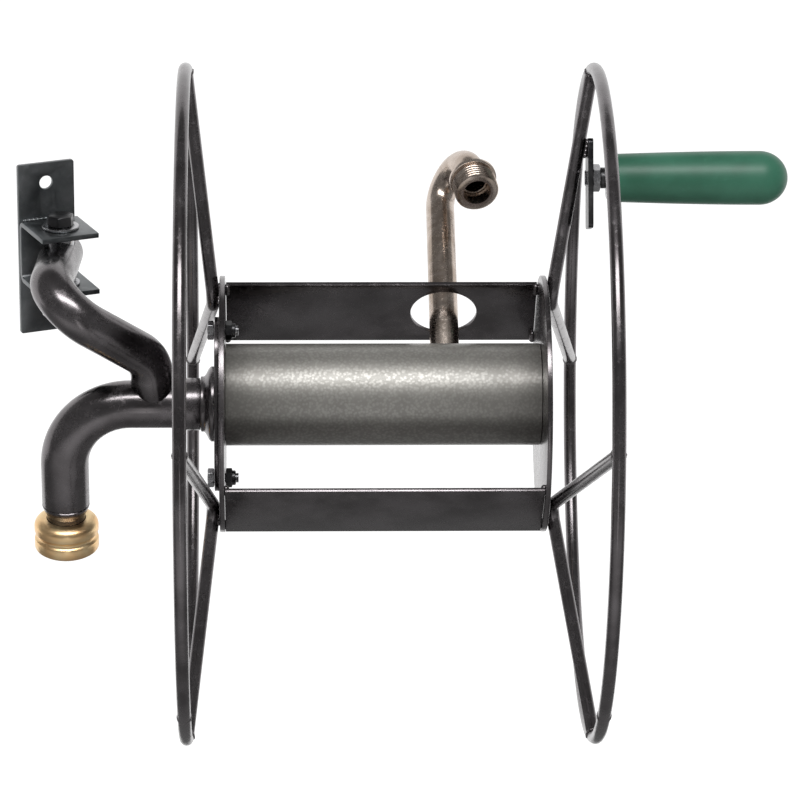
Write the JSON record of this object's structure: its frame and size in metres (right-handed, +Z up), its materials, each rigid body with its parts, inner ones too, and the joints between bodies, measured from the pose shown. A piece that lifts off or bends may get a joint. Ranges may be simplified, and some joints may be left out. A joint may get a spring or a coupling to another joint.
{
  "type": "hose reel",
  "caption": "Wall-mounted garden hose reel: wire hoops on a drum that turns on its inlet pipe, carried by a swing arm, with a crank grip.",
  "frame": {"origin": "centre of the wall plate's back face, on the wall", "axes": "+Y into the wall, +Z up, +X to the right for someone who faces the wall; the reel stands out towards -Y"},
  "size_m": [0.4411, 0.4681, 0.4064],
  "materials": {
    "gloss_gunmetal": "gloss dark powder coat",
    "dark_bracket_steel": "satin dark blue-grey coat",
    "hammertone_grey": "hammered grey paint",
    "polished_nickel": "polished, warm grey",
    "brass": "bright, turned",
    "zinc_plated_steel": "zinc plated",
    "black_steel": "black oxide",
    "green_grip": "smooth moulded green",
    "black_rubber": "matt",
    "white_nylon": "plain"
  },
  "bodies": {
    "wall_bracket": {"wall_plate": "dark_bracket_steel", "pivot_yoke": "dark_bracket_steel", "pivot_bolt": "black_steel", "pivot_nut": "black_steel", "pivot_washer_top": "zinc_plated_steel", "pivot_washer_upper": "zinc_plated_steel", "pivot_washer_lower": "zinc_plated_steel", "pivot_washer_bottom": "zinc_plated_steel"},
    "swing_arm": {"arm_tube": "gloss_gunmetal", "arm_sleeve": "zinc_plated_steel", "inlet_pipe": "gloss_gunmetal", "inlet_tail": "gloss_gunmetal", "axle_collar": "gloss_gunmetal", "axle_circlip": "zinc_plated_steel", "seal_spigot": "brass", "seal_ring_left": "black_rubber", "seal_ring_right": "black_rubber"},
    "hose_coupling": {"inlet_nut": "brass", "hose_washer": "black_rubber"},
    "reel": {"left_hoop": "gloss_gunmetal", "left_upper_spoke": "gloss_gunmetal", "left_lower_spoke": "gloss_gunmetal", "right_hoop": "gloss_gunmetal", "right_upper_spoke": "gloss_gunmetal", "right_lower_spoke": "gloss_gunmetal", "left_disc": "gloss_gunmetal", "right_disc": "gloss_gunmetal", "drum": "hammertone_grey", "upper_slat": "gloss_gunmetal", "lower_slat": "gloss_gunmetal", "hub_strap": "black_steel", "hub_cup": "gloss_gunmetal", "hub_bush": "white_nylon", "hub_bolt_upper": "zinc_plated_steel", "hub_bolt_lower": "zinc_plated_steel", "hub_nut_upper": "black_steel", "hub_nut_lower": "black_steel", "swivel_body": "brass", "support_ring": "black_steel", "outlet_pipe": "polished_nickel", "outlet_fitting": "polished_nickel", "handle_tab": "black_steel", "handle_bolt": "zinc_plated_steel", "handle_nut": "zinc_plated_steel", "handle_spacer": "black_steel", "handle_washer": "zinc_plated_steel", "grip_clip": "zinc_plated_steel"},
    "crank_grip": {"grip": "green_grip", "grip_bush": "white_nylon"}
  },
  "joints": [
    {"name": "arm_swing", "type": "hinge", "parent": "wall_bracket", "child": "swing_arm", "pos_m": [0, -0.027, 0], "axis": [0, 0, 1], "range_deg": [-75, 105]},
    {"name": "nut_spin", "type": "hinge", "parent": "swing_arm", "child": "hose_coupling", "pos_m": [-0.00906, -0.05278, -0.15525], "axis": [0.0533, 0.1286, -0.9903], "continuous": true},
    {"name": "reel_spin", "type": "hinge", "parent": "swing_arm", "child": "reel", "pos_m": [0.16284, -0.13558, -0.079], "axis": [0.9239, -0.3827, 0], "continuous": true},
    {"name": "grip_spin", "type": "hinge", "parent": "reel", "child": "crank_grip", "pos_m": [0.3068, -0.14531, 0.04767], "axis": [0.9239, -0.3827, 0], "continuous": true}
  ]
}
